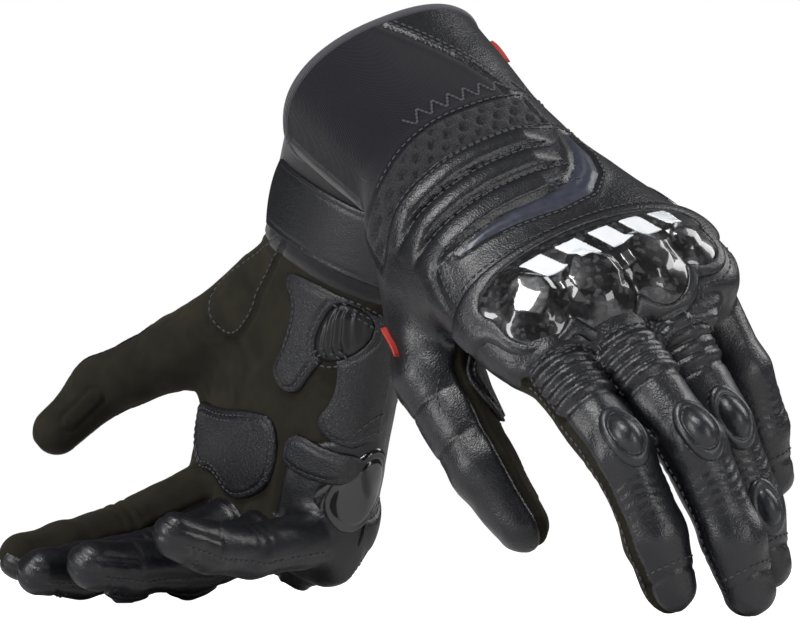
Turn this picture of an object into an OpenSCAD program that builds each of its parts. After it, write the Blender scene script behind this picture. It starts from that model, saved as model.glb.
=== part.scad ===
// A pair of short-cuff motorcycle riding gloves with pre-curved fingers, a moulded knuckle guard,
// ribbed stretch panels over the knuckles and a wrist strap under each cuff.
// Each glove is drawn as a left hand: +X to the thumb, +Y to the fingertips, +Z to the back.
// The right glove is its mirror image with its own finger angles.

/* [Glove] */
// Thickness of the leather with its lining
wall = 2.2; // [1.6:0.1:2.6]
// Gap between layers that are sewn or glued together
gap = 0.3; // [0.2:0.1:0.5]
// Room around each joint
joint_gap = 0.5; // [0.4:0.1:0.8]
// Facets around the fingers
finger_facets = 14; // [12:2:20]

/* [Armour] */
// Thickness of the knuckle guard
guard_wall = 3.2; // [2:0.1:4]
// Height of the oval pads over the finger joints
pad_height = 4; // [3:0.5:5]
// Thickness of the leather overlays
overlay_wall = 1.3; // [1:0.1:1.6]

/* [Pose] */
// Wrist of the left glove, across, away and up
left_place = [29.6, -45.1, 143.1];
// Turn of the left glove
left_turn = [-40, 22, -156.5];
// Wrist of the right glove, across, away and up
right_place = [-14.4, 78.9, 107.6];
// Turn of the right glove
right_turn = [-88, 27, -46.4];
// Base-joint bend of the left fingers, index to little
left_flex = [8, 12, 30, 37];
// Middle-joint bend of the left fingers
left_curl = [32, 29, 20, 20];
// Base-joint bend of the right fingers
right_flex = [66, 72, 76, 82];
// Middle-joint bend of the right fingers
right_curl = [10, 12, 13, 16];

/* [Hidden] */
eps = 0.08;
left_range = [-8, 26];
right_range = [-20, 6];
curl_share = 0.8;
end_share = 0.55;
thumb_range = [-8, 10];
thumb_share = 1;
strap_y = [-42, -20];
strap_axis_x = -39.5;
knuckle = [[28, 88, 1], [7, 91, 3], [-14, 86, 1], [-34.5, 77, -3]];
bone = [[45, 26, 18], [50, 30, 18], [46, 28, 18], [36, 21, 16]];
splay = [1, 0, -1, -4];
finger_r = [[10, 9.4, 9, 8.7, 8], [10, 9.4, 9, 8.7, 8], [10, 9.4, 9, 8.7, 8], [9.4, 8.8, 8.4, 8, 7.4]];
thumb_root = [26, 14, -8];
left_thumb = [[45, 52, -29], [48, 85, -40], [46, 105, -50]];
right_thumb = [[54, 48, -16], [74, 71, -29], [77, 90, -41]];
thumb_r = [12.5, 11.2, 10.6, 9];
// Cross-sections of the hand: distance along it, centre across, centre up, half width, half height
sections = [[-53, 0, 0, 38, 28], [-30, 0, 0, 36.5, 26], [-8, 0, 0, 34.5, 23.5], [12, 2, -1, 38, 22],
    [32, 2, -1, 42, 20.5], [52, 1, 0, 45, 18.5], [70, -1, 1, 46.5, 16.5], [84, -1, 1, 46, 14.5],
    [94, 0, 1, 41, 11.5]];

function flex_of(right) = right ? right_flex : left_flex;
function curl_of(right) = right ? right_curl : left_curl;
function range_of(right) = right ? right_range : left_range;
function thumb_of(right) = right ? right_thumb : left_thumb;
function unit(v) = v / norm(v);
function thumb_axis(right) = unit(cross(thumb_of(right)[1] - thumb_of(right)[0], [-0.6, 0, -0.8]));

module placed(right) {
    translate(right ? right_place : left_place)
        rotate(right ? right_turn : left_turn)
            mirror([right ? 1 : 0, 0, 0])
                children();
}

// A solid turned about +Y from a list of [distance, radius] steps
module turned(steps) {
    for (i = [0:len(steps) - 2])
        hull()
            for (s = [steps[i], steps[i + 1]])
                translate([0, s[0], 0])
                    rotate([90, 0, 0])
                        cylinder(h = eps, r = s[1], $fn = finger_facets);
}

function round_start(y, r) = [for (a = [80, 55, 28]) [y - r * sin(a), r * cos(a)]];
function round_finish(y, r) = [for (a = [28, 55, 80]) [y + r * sin(a), r * cos(a)]];

module along(p, q) {
    d = unit(q - p);
    translate(p)
        rotate([asin(d[2]), 0, -atan2(d[0], d[1])])
            children();
}

module ball(r) {
    rotate([90, 0, 0]) sphere(r, $fn = finger_facets);
}

// The room a tapered rod of length l needs as it swings between two bends
module swing(l, r, s, low, high) {
    hull() {
        ball(r);
        rotate([-low, 0, 0]) translate([0, l, 0]) ball(s);
        rotate([-high, 0, 0]) translate([0, l, 0]) ball(s);
    }
}

module section(i, grow) {
    s = sections[i];
    translate([s[1], s[0], s[2]])
        rotate([90, 0, 0])
            scale([s[3] + grow, s[4] + grow, 1])
                cylinder(h = eps, r = 1, $fn = 28);
}

// The whole hand, grown or shrunk, with the ball of the thumb
module hand_solid(grow, right) {
    for (i = [0:len(sections) - 2])
        hull() {
            section(i, grow);
            section(i + 1, grow);
        }
    t = thumb_of(right)[0];
    l = norm(t - thumb_root);
    along(thumb_root, t)
        turned(concat(round_start(0, 16 + grow), [[0, 16 + grow], [l, 13.6 + grow]], round_finish(l, 13.6 + grow)));
}

module layer(inner, outer, right) {
    difference() {
        hand_solid(outer, right);
        hand_solid(inner, right);
    }
}

module at_knuckle(i, bend) {
    translate(knuckle[i])
        rotate([-bend, 0, -splay[i]])
            children();
}

module at_middle(i, bend, curl) {
    at_knuckle(i, bend)
        translate([0, bone[i][0], 0])
            rotate([-curl, 0, 0])
                children();
}

// Space each finger and the thumb sweep through as they bend
module sweeps(right) {
    span = range_of(right);
    for (i = [0:3])
        at_knuckle(i, flex_of(right)[i])
            swing(bone[i][0], finger_r[i][0] + joint_gap, finger_r[i][1] + joint_gap, span[0], span[1]);
    thumb_sweep(right);
}

module thumb_sweep(right) {
    t = thumb_of(right);
    translate(t[0])
        hull() {
            ball(thumb_r[0] + 2 * joint_gap);
            for (a = thumb_range)
                rotate(a = a, v = thumb_axis(right))
                    translate(t[1] - t[0]) ball(thumb_r[1] + 2 * joint_gap);
        }
}

module slab(x0, x1, y0, y1, z0, z1) {
    translate([x0, y0, z0]) cube([x1 - x0, y1 - y0, z1 - z0]);
}

module cut_hand(inner, outer, right) {
    difference() {
        intersection() {
            layer(inner, outer, right);
            children();
        }
        sweeps(right);
    }
}

// A flat outline pulled through the whole hand on one face
module outline(points, back) {
    translate([0, 0, back ? 2 : -60])
        linear_extrude(58)
            offset(r = 2, $fn = 12)
                offset(delta = -2)
                    polygon(points);
}

module back_leather(right) {
    cut_hand(-wall, 0, right) slab(-60, 80, 2, 130, 0.15, 60);
}

module palm_suede(right) {
    cut_hand(-wall, 0, right) slab(-60, 90, -13.8, 130, -80, -0.15);
}

module cuff_knit(right) {
    cut_hand(-wall, 0, right) slab(-60, 60, -50.5, -14.2, 0.15, 60);
}

module cuff_panel(right) {
    cut_hand(-wall, 0, right) slab(-60, 60, -50.5, -14.2, -60, -0.15);
}

module cuff_binding(right) {
    intersection() {
        layer(-3, 0.8, right);
        slab(-60, 60, -60, -50.8, -60, 60);
    }
}

module mesh_insert(right) {
    cut_hand(-wall, 0, right) slab(-60, 80, -13.8, 1.6, 0.15, 60);
}

module pleat(right, y) {
    cut_hand(gap, 2.4, right)
        outline([[-30, y + 12], [-10, y + 2], [12, y], [32, y + 4], [32, y + 10], [12, y + 6], [-10, y + 8],
            [-30, y + 18]], true);
}

module pleat_ribs(right) {
    pleat(right, 6);
    pleat(right, 17);
}

guard_outline = [[38, 62], [20, 57], [-16, 57], [-36, 54], [-42, 62], [-37, 70], [-30, 71], [-24, 79], [-15, 80],
    [-6, 83], [2, 87], [12, 85], [18, 80], [26, 86], [35, 84], [41, 74]];

module knuckle_bezel(right) {
    difference() {
        cut_hand(gap, 1.8, right) outline([for (p = guard_outline) [p[0] * 1.06, (p[1] - 70) * 1.2 + 70]], true);
        translate([0, 0, 1]) linear_extrude(60) offset(delta = 0.4) polygon(guard_outline);
    }
}

module knuckle_guard(right) {
    cut_hand(gap, gap + guard_wall, right)
        translate([0, 0, 1]) linear_extrude(60) polygon(guard_outline);
}

module ulnar_slider(right) {
    cut_hand(gap, 3.2, right) slab(-60, -41.8, 40, 64, -15, 1.2);
}

module heel_insert(right) {
    cut_hand(gap, 2.4, right) outline([[-22, 4], [-8, 4], [-6, 26], [-20, 28]], false);
}

module palm_patches(right) {
    cut_hand(gap, gap + overlay_wall, right) {
        difference() {
            outline([[-38, -8], [2, -8], [4, 18], [14, 34], [6, 42], [-4, 30], [-12, 46], [-20, 40], [-36, 34]], false);
            outline([[-24, 2], [-6, 2], [-4, 28], [-22, 30]], false);
        }
        outline([[-40, 50], [-14, 50], [-14, 64], [-40, 62]], false);
        outline([[-8, 54], [36, 54], [34, 68], [-6, 70]], false);
    }
}

module wrist_strap(right) {
    cut_hand(gap, 2.6, right) slab(-60, 22, strap_y[0], strap_y[1], -60, -2);
}

module finger_base(right, i) {
    r = finger_r[i];
    l = bone[i][0];
    curl = curl_of(right)[i];
    span = range_of(right) * curl_share;
    at_knuckle(i, flex_of(right)[i])
        difference() {
            turned(concat(round_start(0, r[0]), [[0, r[0]], [l - 3.5, r[1]]]));
            turned([[-14, r[0] - wall], [0, r[0] - wall], [l, r[1] - wall]]);
            translate([0, l, 0])
                swing(bone[i][1], r[2] + joint_gap, r[3] + joint_gap, curl + span[0], curl + span[1]);
        }
}

module finger_tip(right, i) {
    r = finger_r[i];
    curl = curl_of(right)[i];
    bend = curl * end_share;
    at_middle(i, flex_of(right)[i], curl)
        difference() {
            finger_run(i, bend, 0);
            finger_run(i, bend, wall);
            turned([[-14, r[2] - wall], [0, r[2] - wall], [4, r[2] - wall]]);
        }
}

// The middle and end bones of a finger as one bent tube
module finger_run(i, bend, less) {
    r = finger_r[i];
    rings = concat(
        [for (s = round_start(0, r[2] - less)) [0, s[0], 0, 0, s[1]]],
        [[0, 0, 0, 0, r[2] - less], [0, bone[i][1], 0, bend / 2, r[3] - less]],
        [for (s = concat([[bone[i][2], r[4] - less]], round_finish(bone[i][2], r[4] - less)))
            [0, bone[i][1] + s[0] * cos(bend), -s[0] * sin(bend), bend, s[1]]]);
    for (k = [0:len(rings) - 2])
        hull()
            for (g = [rings[k], rings[k + 1]])
                translate([g[0], g[1], g[2]])
                    rotate([90 - g[3], 0, 0])
                        cylinder(h = eps, r = g[4], $fn = finger_facets);
}

module accordion(right, i) {
    r = finger_r[i][0] + 0.5;
    at_knuckle(i, flex_of(right)[i])
        intersection() {
            difference() {
                turned([for (k = [0:8]) [13 + 2 * k, r + (k % 2 == 0 ? 0.7 : 1.8)]]);
                translate([0, 10, 0]) rotate([-90, 0, 0]) cylinder(h = 30, r = r, $fn = finger_facets);
            }
            translate([-20, 0, r * 0.75]) cube([40, 40, 20]);
        }
}

module dome(rx, ry, h) {
    for (k = [0:7])
        hull()
            for (b = [0, 1])
                translate([0, 0, -1 + (h + 1) * sin(90 * (k + b) / 8)])
                    scale([rx * cos(88 * (k + b) / 8), ry * cos(88 * (k + b) / 8), 1])
                        cylinder(h = eps, r = 1, $fn = 12);
}

module middle_stud(right, i) {
    at_knuckle(i, flex_of(right)[i])
        difference() {
            translate([0, bone[i][0] - 6, finger_r[i][1]]) dome(6.5, 9.5, pad_height);
            turned([[-1, finger_r[i][0] + 0.2], [bone[i][0] + 6, finger_r[i][1] + 0.4]]);
        }
}

module end_stud(right, i) {
    at_middle(i, flex_of(right)[i], curl_of(right)[i])
        difference() {
            translate([0, bone[i][1] - 3, finger_r[i][3]]) dome(5.5, 7.5, pad_height);
            turned([[-1, finger_r[i][2] + 0.2], [bone[i][1] + 8, finger_r[i][3] + 0.4]]);
        }
}

module thumb_base(right) {
    t = thumb_of(right);
    l = norm(t[1] - t[0]);
    r = thumb_r;
    difference() {
        along(t[0], t[1])
            difference() {
                turned(concat(round_start(0, r[0]), [[0, r[0]], [l - 4, r[1]]]));
                turned([[-16, r[0] - wall], [0, r[0] - wall], [l, r[1] - wall]]);
            }
        translate(t[1])
            hull() {
                ball(r[2] + joint_gap);
                for (a = thumb_range)
                    rotate(a = a * thumb_share, v = thumb_axis(right))
                        translate(t[2] - t[1]) ball(r[3] + joint_gap);
            }
    }
}

module thumb_tip(right) {
    t = thumb_of(right);
    l = norm(t[2] - t[1]);
    r = thumb_r;
    along(t[1], t[2])
        difference() {
            turned(concat(round_start(0, r[2]), [[0, r[2]], [l, r[3]]], round_finish(l, r[3])));
            turned(concat([[-14, r[2] - wall], [0, r[2] - wall], [l, r[3] - wall]], round_finish(l, r[3] - wall)));
        }
}

module right_back_leather() {
    color("#26272b") placed(true) back_leather(true);
}

module right_palm_suede() {
    color("#25231f") placed(true) palm_suede(true);
}

module right_cuff_knit() {
    color("#2b2933") placed(true) cuff_knit(true);
}

module right_cuff_panel() {
    color("#222226") placed(true) cuff_panel(true);
}

module right_cuff_binding() {
    color("#3a3a40") placed(true) cuff_binding(true);
}

module right_mesh_insert() {
    color("#1d1d22") placed(true) mesh_insert(true);
}

module right_pleat_ribs() {
    color("#26272b") placed(true) pleat_ribs(true);
}

module right_knuckle_bezel() {
    color("#1f2024") placed(true) knuckle_bezel(true);
}

module right_knuckle_guard() {
    color("#101012") placed(true) knuckle_guard(true);
}

module right_ulnar_slider() {
    color("#101012") placed(true) ulnar_slider(true);
}

module right_heel_insert() {
    color("#17171a") placed(true) heel_insert(true);
}

module right_palm_patches() {
    color("#232327") placed(true) palm_patches(true);
}

module right_wrist_strap() {
    color("#26272b") placed(true) wrist_strap(true);
}

module right_index_base() {
    color("#26272b") placed(true) finger_base(true, 0);
}

module right_index_tip() {
    color("#242529") placed(true) finger_tip(true, 0);
}

module right_middle_base() {
    color("#26272b") placed(true) finger_base(true, 1);
}

module right_middle_tip() {
    color("#242529") placed(true) finger_tip(true, 1);
}

module right_ring_base() {
    color("#26272b") placed(true) finger_base(true, 2);
}

module right_ring_tip() {
    color("#242529") placed(true) finger_tip(true, 2);
}

module right_little_base() {
    color("#26272b") placed(true) finger_base(true, 3);
}

module right_little_tip() {
    color("#242529") placed(true) finger_tip(true, 3);
}

module right_index_accordion() {
    color("#2a2b30") placed(true) accordion(true, 0);
}

module right_index_stud() {
    color("#2c2d33") placed(true) middle_stud(true, 0);
}

module right_middle_accordion() {
    color("#2a2b30") placed(true) accordion(true, 1);
}

module right_middle_stud() {
    color("#2c2d33") placed(true) middle_stud(true, 1);
}

module right_ring_accordion() {
    color("#2a2b30") placed(true) accordion(true, 2);
}

module right_ring_stud() {
    color("#2c2d33") placed(true) middle_stud(true, 2);
}

module right_ring_end_stud() {
    color("#2c2d33") placed(true) end_stud(true, 2);
}

module right_thumb_base() {
    color("#26272b") placed(true) thumb_base(true);
}

module right_thumb_tip() {
    color("#25231f") placed(true) thumb_tip(true);
}

module left_back_leather() {
    color("#26272b") placed(false) back_leather(false);
}

module left_palm_suede() {
    color("#25231f") placed(false) palm_suede(false);
}

module left_cuff_knit() {
    color("#2b2933") placed(false) cuff_knit(false);
}

module left_cuff_panel() {
    color("#222226") placed(false) cuff_panel(false);
}

module left_cuff_binding() {
    color("#3a3a40") placed(false) cuff_binding(false);
}

module left_mesh_insert() {
    color("#1d1d22") placed(false) mesh_insert(false);
}

module left_pleat_ribs() {
    color("#26272b") placed(false) pleat_ribs(false);
}

module left_knuckle_bezel() {
    color("#1f2024") placed(false) knuckle_bezel(false);
}

module left_knuckle_guard() {
    color("#101012") placed(false) knuckle_guard(false);
}

module left_ulnar_slider() {
    color("#101012") placed(false) ulnar_slider(false);
}

module left_heel_insert() {
    color("#17171a") placed(false) heel_insert(false);
}

module left_palm_patches() {
    color("#232327") placed(false) palm_patches(false);
}

module left_wrist_strap() {
    color("#26272b") placed(false) wrist_strap(false);
}

module left_index_base() {
    color("#26272b") placed(false) finger_base(false, 0);
}

module left_index_tip() {
    color("#242529") placed(false) finger_tip(false, 0);
}

module left_middle_base() {
    color("#26272b") placed(false) finger_base(false, 1);
}

module left_middle_tip() {
    color("#242529") placed(false) finger_tip(false, 1);
}

module left_ring_base() {
    color("#26272b") placed(false) finger_base(false, 2);
}

module left_ring_tip() {
    color("#242529") placed(false) finger_tip(false, 2);
}

module left_little_base() {
    color("#26272b") placed(false) finger_base(false, 3);
}

module left_little_tip() {
    color("#242529") placed(false) finger_tip(false, 3);
}

module left_index_accordion() {
    color("#2a2b30") placed(false) accordion(false, 0);
}

module left_index_stud() {
    color("#2c2d33") placed(false) middle_stud(false, 0);
}

module left_middle_accordion() {
    color("#2a2b30") placed(false) accordion(false, 1);
}

module left_middle_stud() {
    color("#2c2d33") placed(false) middle_stud(false, 1);
}

module left_ring_accordion() {
    color("#2a2b30") placed(false) accordion(false, 2);
}

module left_ring_stud() {
    color("#2c2d33") placed(false) middle_stud(false, 2);
}

module left_ring_end_stud() {
    color("#2c2d33") placed(false) end_stud(false, 2);
}

module left_thumb_base() {
    color("#26272b") placed(false) thumb_base(false);
}

module left_thumb_tip() {
    color("#25231f") placed(false) thumb_tip(false);
}

right_back_leather();
right_palm_suede();
right_cuff_knit();
right_cuff_panel();
right_cuff_binding();
right_mesh_insert();
right_pleat_ribs();
right_knuckle_bezel();
right_knuckle_guard();
right_ulnar_slider();
right_heel_insert();
right_palm_patches();
right_wrist_strap();
right_index_base();
right_index_tip();
right_middle_base();
right_middle_tip();
right_ring_base();
right_ring_tip();
right_little_base();
right_little_tip();
right_index_accordion();
right_index_stud();
right_middle_accordion();
right_middle_stud();
right_ring_accordion();
right_ring_stud();
right_ring_end_stud();
right_thumb_base();
right_thumb_tip();
left_back_leather();
left_palm_suede();
left_cuff_knit();
left_cuff_panel();
left_cuff_binding();
left_mesh_insert();
left_pleat_ribs();
left_knuckle_bezel();
left_knuckle_guard();
left_ulnar_slider();
left_heel_insert();
left_palm_patches();
left_wrist_strap();
left_index_base();
left_index_tip();
left_middle_base();
left_middle_tip();
left_ring_base();
left_ring_tip();
left_little_base();
left_little_tip();
left_index_accordion();
left_index_stud();
left_middle_accordion();
left_middle_stud();
left_ring_accordion();
left_ring_stud();
left_ring_end_stud();
left_thumb_base();
left_thumb_tip();
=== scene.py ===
"""A pair of motorcycle gloves: leather backs, suede palms, moulded guards and stitched, curved fingers."""

import math

import bpy
import numpy as np
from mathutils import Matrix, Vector


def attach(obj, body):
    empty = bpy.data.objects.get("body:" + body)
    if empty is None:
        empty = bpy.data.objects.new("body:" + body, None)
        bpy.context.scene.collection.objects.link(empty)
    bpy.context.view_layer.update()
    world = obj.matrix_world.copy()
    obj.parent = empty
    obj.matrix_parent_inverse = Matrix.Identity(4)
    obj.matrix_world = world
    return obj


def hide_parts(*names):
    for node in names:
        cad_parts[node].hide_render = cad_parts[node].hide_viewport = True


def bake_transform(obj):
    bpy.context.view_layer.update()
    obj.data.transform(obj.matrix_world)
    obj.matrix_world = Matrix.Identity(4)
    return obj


MM = 0.001
SKIN_CELL = 0.95
STUD_CELL = 0.42
SEED = 7

# The pose and the bones are those of the CAD part, in millimetres and degrees.
PLACE = {"left": [29.6, -45.1, 143.1], "right": [-14.4, 78.9, 107.6]}
TURN = {"left": [-40, 22, -156.5], "right": [-88, 27, -46.4]}
FLEX = {"left": [8, 12, 30, 37], "right": [66, 72, 76, 82]}
CURL = {"left": [32, 29, 20, 20], "right": [10, 12, 13, 16]}
SPLAY = [1, 0, -1, -4]
KNUCKLE = [[28, 88, 1], [7, 91, 3], [-14, 86, 1], [-34.5, 77, -3]]
BONE = [[45, 26, 18], [50, 30, 18], [46, 28, 18], [36, 21, 16]]
RADIUS = [[11.0, 10.1, 9.6, 8.2], [11.2, 10.2, 9.7, 8.3], [11.0, 10.1, 9.6, 8.2], [10.3, 9.4, 8.8, 7.6]]
THUMB_ROOT = [26, 14, -8]
THUMB = {
    "left": [[45, 52, -29], [48, 85, -40], [46, 105, -50]],
    "right": [[54, 48, -16], [74, 71, -29], [77, 90, -41]],
}
# The way the suede side of the thumb faces
THUMB_INNER = {"left": [-1, 0, -0.15], "right": [-0.6, 0, -0.8]}
# How fast the suede's edge falls away towards the thumb
EDGE_SLOPE = {"left": 0.85, "right": 0.3}
THUMB_RADIUS = [16, 12.8, 11.0, 8.8]
END_SHARE = 0.55
SECTIONS = np.array([
    [-60, 0, 0, 38.5, 28.5], [-53, 0, 0, 38, 28], [-30, 0, 0, 36.5, 26], [-8, 0, 0, 34.5, 23.5],
    [12, 2, -1, 38, 22], [32, 2, -1, 42, 20.5], [52, 1, 0, 45, 18.5], [70, -1, 1, 46.5, 16.8],
    [84, -1, 1, 46, 15], [96, 0, 1, 42, 11.5], [110, 0, 1, 40, 9],
])
CUFF_END = -52.5
ROUNDNESS = 2.35
FINGERS = ["index", "middle", "ring", "little"]
SIDES = ["right", "left"]


def rotation(turn):
    a, b, c = [math.radians(v) for v in turn]
    rx = np.array([[1, 0, 0], [0, math.cos(a), -math.sin(a)], [0, math.sin(a), math.cos(a)]])
    ry = np.array([[math.cos(b), 0, math.sin(b)], [0, 1, 0], [-math.sin(b), 0, math.cos(b)]])
    rz = np.array([[math.cos(c), -math.sin(c), 0], [math.sin(c), math.cos(c), 0], [0, 0, 1]])
    return rz @ ry @ rx


def unit(v):
    v = np.asarray(v, float)
    return v / np.maximum(np.linalg.norm(v, axis=-1, keepdims=True), 1e-9)


def smooth_min(a, b, k):
    h = np.clip(0.5 + 0.5 * (b - a) / k, 0, 1)
    return b + (a - b) * h - k * h * (1 - h)


def cone(p, a, b, ra, rb):
    """Distance to a tapered rod with round ends."""
    a = np.asarray(a, float)
    ab = np.asarray(b, float) - a
    h = np.clip((p - a) @ ab / (ab @ ab), 0, 1)
    return np.linalg.norm(p - a - h[:, None] * ab, axis=1) - (ra + (rb - ra) * h)


FINE_Y = np.linspace(-60, 110, 171)


def smooth_table(values):
    out = values.copy()
    for _ in range(14):
        out[1:-1] = (out[:-2] + 2 * out[1:-1] + out[2:]) / 4
    return out


TABLE = [smooth_table(np.interp(FINE_Y, SECTIONS[:, 0], SECTIONS[:, c])) for c in range(1, 5)]


def hand_body(p):
    y = np.clip(p[:, 1], -60, 110)
    cx, cz, rx, rz = [np.interp(y, FINE_Y, t) for t in TABLE]
    x, z = p[:, 0] - cx, p[:, 2] - cz
    r = (np.abs(x / rx) ** ROUNDNESS + np.abs(z / rz) ** ROUNDNESS) ** (1 / ROUNDNESS)
    length = np.sqrt(x * x + z * z)
    d = np.where(r > 1e-3, length * (1 - 1 / np.maximum(r, 1e-3)), -10)
    d = np.maximum(d, -14)
    over = np.maximum(p[:, 1] - 90, 0)
    return np.sqrt(np.maximum(d + 7, 0) ** 2 + over**2) - 7 + np.minimum(d + 7, 0)


class Glove:
    """One glove in its own frame: +X to the thumb, +Y to the fingertips, +Z to the back."""

    def __init__(self, side):
        self.side = side
        self.turn = rotation(TURN[side])
        self.place = np.array(PLACE[side], float)
        self.flip = np.array([-1.0, 1, 1]) if side == "right" else np.ones(3)
        self.segments = []
        for i in range(4):
            self.segments.append(self.finger_segments(i))
        t = [np.array(v, float) for v in THUMB[side]]
        inner = unit(THUMB_INNER[side])
        self.thumb = []
        start = 0.0
        for a, b, ra, rb in zip(t, t[1:], THUMB_RADIUS[1:], THUMB_RADIUS[2:]):
            y = unit(b - a)
            z = unit(-inner + y * (inner @ y))
            self.thumb.append(dict(a=a, b=b, ra=ra, rb=rb, y=y, z=z, x=np.cross(y, z), start=start))
            start += np.linalg.norm(b - a)
        self.thumb_length = start

    def finger_segments(self, i):
        bends = [FLEX[self.side][i], CURL[self.side][i], CURL[self.side][i] * END_SHARE]
        splay = math.radians(SPLAY[i])
        a = np.array(KNUCKLE[i], float)
        total, start, out = 0.0, 0.0, []
        for k in range(3):
            total += math.radians(bends[k])
            c, s = math.cos(total), math.sin(total)
            y = np.array([c * math.sin(splay), c * math.cos(splay), -s])
            z = np.array([s * math.sin(splay), s * math.cos(splay), c])
            b = a + y * BONE[i][k]
            out.append(dict(a=a, b=b, ra=RADIUS[i][k], rb=RADIUS[i][k + 1],
                            y=y, z=z, x=np.cross(y, z), start=start))
            start += BONE[i][k]
            a = b
        return out

    def world(self, p):
        return (self.place + (np.asarray(p, float) * self.flip) @ self.turn.T) * MM

    def chain(self, p, segments, k=3.0):
        d = None
        for s in segments:
            one = cone(p, s["a"], s["b"], s["ra"], s["rb"])
            d = one if d is None else smooth_min(d, one, k)
        return d

    def mound(self, p):
        return cone(p, THUMB_ROOT, THUMB[self.side][0], THUMB_RADIUS[0], THUMB_RADIUS[1])

    def hand(self, p):
        return smooth_min(hand_body(p), smooth_min(self.mound(p), self.chain(p, self.thumb), 4), 12)

    def whole(self, p):
        fingers = None
        for s in self.segments:
            d = self.chain(p, s)
            fingers = d if fingers is None else smooth_min(fingers, d, 0.8)
        return smooth_min(self.hand(p), fingers, 5.5)

    def along(self, p, segments):
        """Distance from the first joint, sideways offset and height over the bone, of the nearest bone."""
        best = np.full(len(p), 1e9)
        s_out, x_out, z_out = np.zeros(len(p)), np.zeros(len(p)), np.zeros(len(p))
        for k, s in enumerate(segments):
            q = p - s["a"]
            length = np.linalg.norm(s["b"] - s["a"])
            y = q @ s["y"]
            out = np.maximum(np.maximum(-y, y - length), 0)
            if k == 0:
                out = np.maximum(y - length, 0)
            if k == len(segments) - 1:
                out = np.maximum(-y, 0)
            d = out + 0.001 * np.abs(cone(p, s["a"], s["b"], s["ra"], s["rb"]))
            take = d < best
            best = np.where(take, d, best)
            s_out = np.where(take, s["start"] + y, s_out)
            x_out = np.where(take, q @ s["x"], x_out)
            z_out = np.where(take, q @ s["z"], z_out)
        return s_out, x_out, z_out


def gradient(f, p, h=0.25):
    g = np.zeros_like(p)
    for k in range(3):
        e = np.zeros(3)
        e[k] = h
        g[:, k] = (f(p + e) - f(p - e)) / (2 * h)
    return g


def project(f, p, level=0.0, steps=3):
    for _ in range(steps):
        g = gradient(f, p)
        p = p - (f(p) - level)[:, None] * g / np.maximum((g * g).sum(1), 0.2)[:, None]
    return p


def nets(f, low, high, cell):
    """A closed surface where f is zero, as points and four-sided faces."""
    low = np.asarray(low, float)
    n = np.ceil((np.asarray(high, float) - low) / cell).astype(int) + 1
    axes = [low[k] + cell * np.arange(n[k]) for k in range(3)]
    grid = np.empty(n, np.float32)
    for i in range(n[0]):
        yy, zz = np.meshgrid(axes[1], axes[2], indexing="ij")
        pts = np.stack([np.full(yy.size, axes[0][i]), yy.ravel(), zz.ravel()], 1)
        grid[i] = f(pts).reshape(n[1], n[2])
    inside = grid < 0
    total = np.zeros(n - 1, np.int8)
    corners = [(a, b, c) for a in (0, 1) for b in (0, 1) for c in (0, 1)]
    for a, b, c in corners:
        total += inside[a:n[0] - 1 + a, b:n[1] - 1 + b, c:n[2] - 1 + c]
    mixed = (total > 0) & (total < 8)
    index = np.full(n - 1, -1, np.int64)
    where = np.argwhere(mixed)
    index[mixed] = np.arange(len(where))
    summed, count = np.zeros((len(where), 3)), np.zeros(len(where))
    for c0 in corners:
        for k in range(3):
            if c0[k]:
                continue
            c1 = tuple(v + (1 if j == k else 0) for j, v in enumerate(c0))
            a = grid[tuple((where + c0).T)]
            b = grid[tuple((where + c1).T)]
            cross = (a < 0) != (b < 0)
            t = np.where(cross, a / np.where(cross, a - b, 1), 0)
            point = where + np.array(c0, float)
            point[:, k] += t
            summed += point * cross[:, None]
            count += cross
    points = low + cell * summed / np.maximum(count, 1)[:, None]
    faces = []
    for k in range(3):
        one, two = (k + 1) % 3, (k + 2) % 3
        a = inside.take(range(0, n[k] - 1), k)
        b = inside.take(range(1, n[k]), k)
        edges = np.argwhere(a != b)
        e, g = edges[:, one], edges[:, two]
        edges = edges[(e > 0) & (g > 0) & (e < n[one] - 1) & (g < n[two] - 1)]
        start = a[tuple(edges.T)]
        quad = []
        for da, db in ((0, 0), (1, 0), (1, 1), (0, 1)):
            cell_at = edges.copy()
            cell_at[:, one] -= da
            cell_at[:, two] -= db
            quad.append(index[tuple(cell_at.T)])
        quad = np.stack(quad, 1)
        faces.append(np.where(start[:, None], quad, quad[:, ::-1]))
    return points, np.concatenate(faces)


def vertex_normals(points, faces):
    a, b, c, d = [points[faces[:, k]] for k in range(4)]
    n = np.cross(c - a, d - b)
    out = np.zeros_like(points)
    for k in range(4):
        np.add.at(out, faces[:, k], n)
    return unit(out)


def make(glove, name, points, faces, material, normals=None, coords=None):
    """A Blender object from points in the glove's frame."""
    used = np.unique(faces)
    remap = np.full(len(points), -1)
    remap[used] = np.arange(len(used))
    local = remap[faces]
    if glove.side == "right":
        local = local[:, ::-1]
    mesh = bpy.data.meshes.new(name)
    mesh.from_pydata(glove.world(points[used]).tolist(), [], local.tolist())
    mesh.materials.append(material)
    mesh.shade_smooth()
    attribute = mesh.attributes.new("rest_mm", "FLOAT_VECTOR", "POINT")
    source = points if coords is None else coords
    attribute.data.foreach_set("vector", source[used].astype(np.float32).ravel())
    if normals is not None:
        world_n = (normals[used] * glove.flip) @ glove.turn.T
        mesh.normals_split_custom_set_from_vertices(world_n.tolist())
    obj = bpy.data.objects.new(name, mesh)
    bpy.context.scene.collection.objects.link(obj)
    return obj


# Seam lines and panels, as signed distances in millimetres that are positive inside the panel

def band_line(x):
    return 3 + 10 * np.clip((x - 4) / 40, 0, 1.2) ** 2


def side_seam(y):
    """The seam that runs from the stripe down beside the guard towards the thumb."""
    return 44.5 - 0.012 * (y - 62) ** 2


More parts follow.
